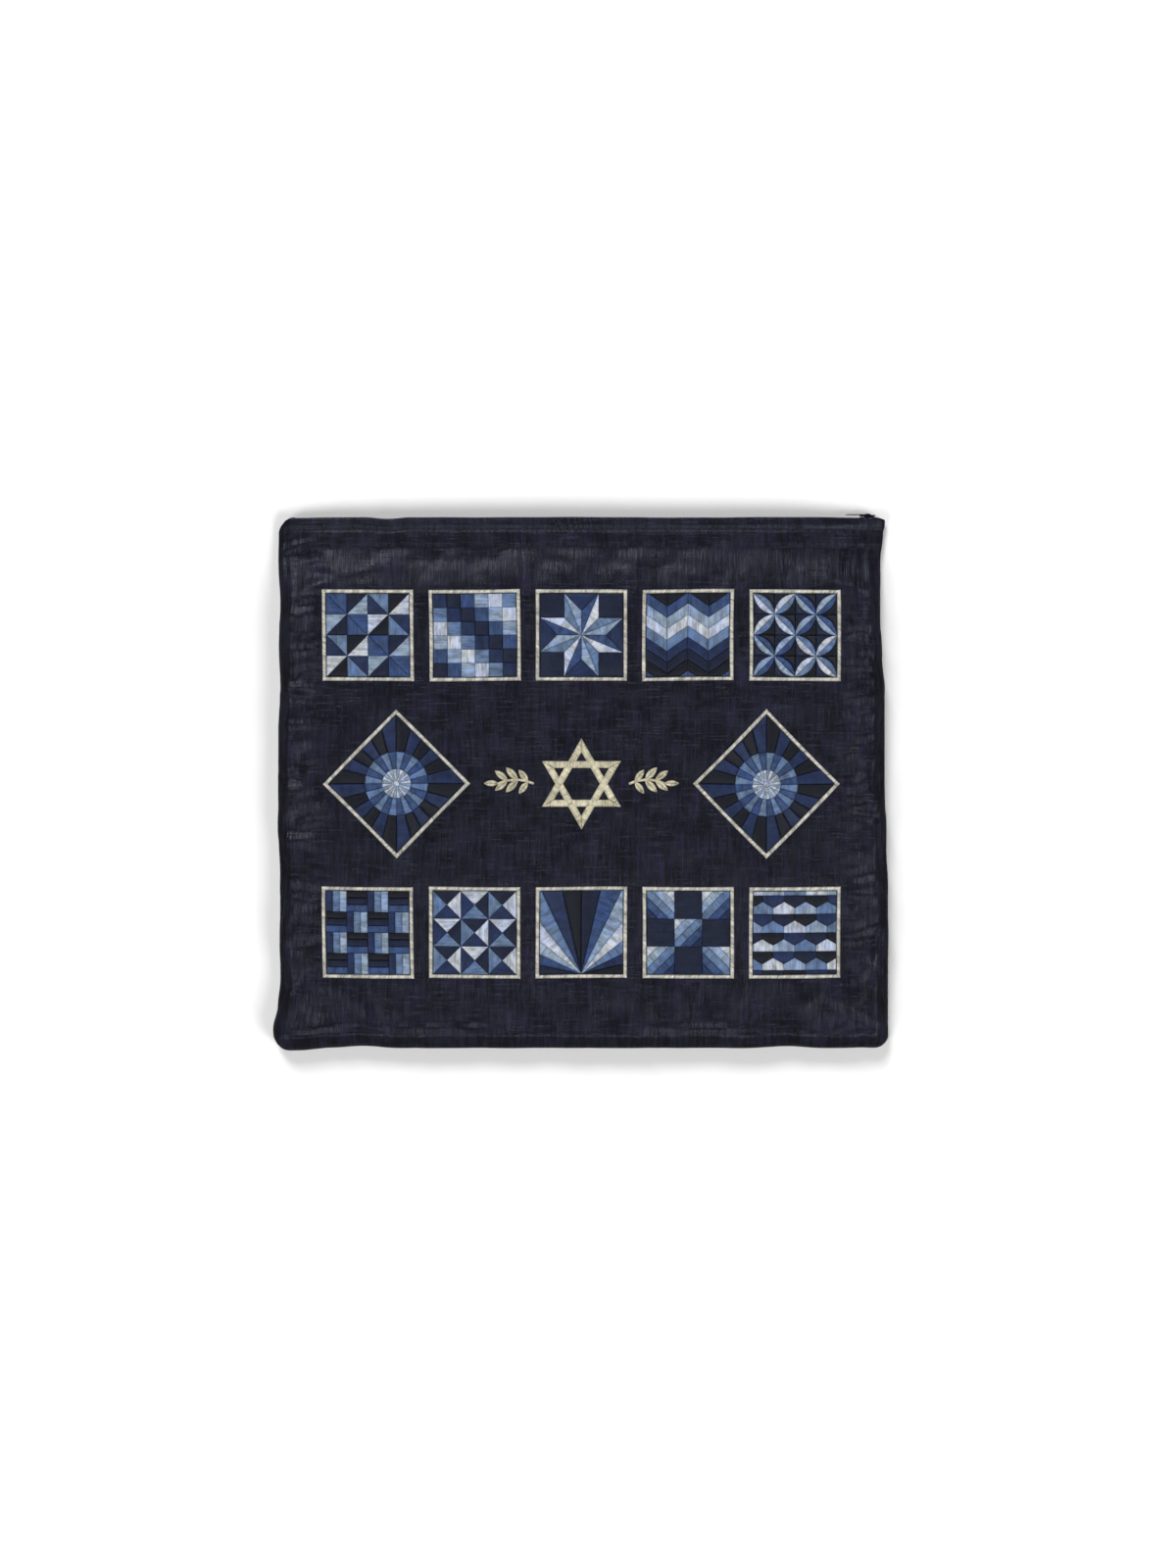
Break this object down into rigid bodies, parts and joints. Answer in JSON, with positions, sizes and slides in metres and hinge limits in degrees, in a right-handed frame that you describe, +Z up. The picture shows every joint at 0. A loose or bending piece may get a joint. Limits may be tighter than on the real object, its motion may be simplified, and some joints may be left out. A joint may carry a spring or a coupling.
{
  "type": "tallit bag",
  "caption": "Flat zipped cloth bag for a folded prayer shawl, slub silk with raised satin-stitch embroidery on its front.",
  "frame": {"origin": "centre of the footprint, on the surface the bag lies on", "axes": "+Z up, out of the embroidered front; +X to the right of the front, along the mouth; +Y from the bottom seam towards the mouth"},
  "size_m": [0.3654, 0.319, 0.0236],
  "materials": {
    "cloth": "navy slub silk with a soft sheen",
    "field_thread": "satin stitch in blues and silver",
    "border_thread": "satin stitch in pale silver",
    "ornament_thread": "satin stitch in pale gold",
    "zip_tape": "woven tape with a nylon coil",
    "zip_metal": "dark enamel"
  },
  "bodies": {
    "root": {"front_panel": "cloth", "back_panel": "cloth", "zip_tape_front": "zip_tape", "zip_tape_back": "zip_tape", "zip_slider": "zip_metal", "star": "ornament_thread", "sprig_left": "ornament_thread", "sprig_right": "ornament_thread", "field_top_1": "field_thread", "field_top_2": "field_thread", "field_top_3": "field_thread", "field_top_4": "field_thread", "field_top_5": "field_thread", "field_bottom_1": "field_thread", "field_bottom_2": "field_thread", "field_bottom_3": "field_thread", "field_bottom_4": "field_thread", "field_bottom_5": "field_thread", "field_left": "field_thread", "field_right": "field_thread", "border_top_1": "border_thread", "border_top_2": "border_thread", "border_top_3": "border_thread", "border_top_4": "border_thread", "border_top_5": "border_thread", "border_bottom_1": "border_thread", "border_bottom_2": "border_thread", "border_bottom_3": "border_thread", "border_bottom_4": "border_thread", "border_bottom_5": "border_thread", "border_left": "border_thread", "border_right": "border_thread"}
  },
  "joints": []
}
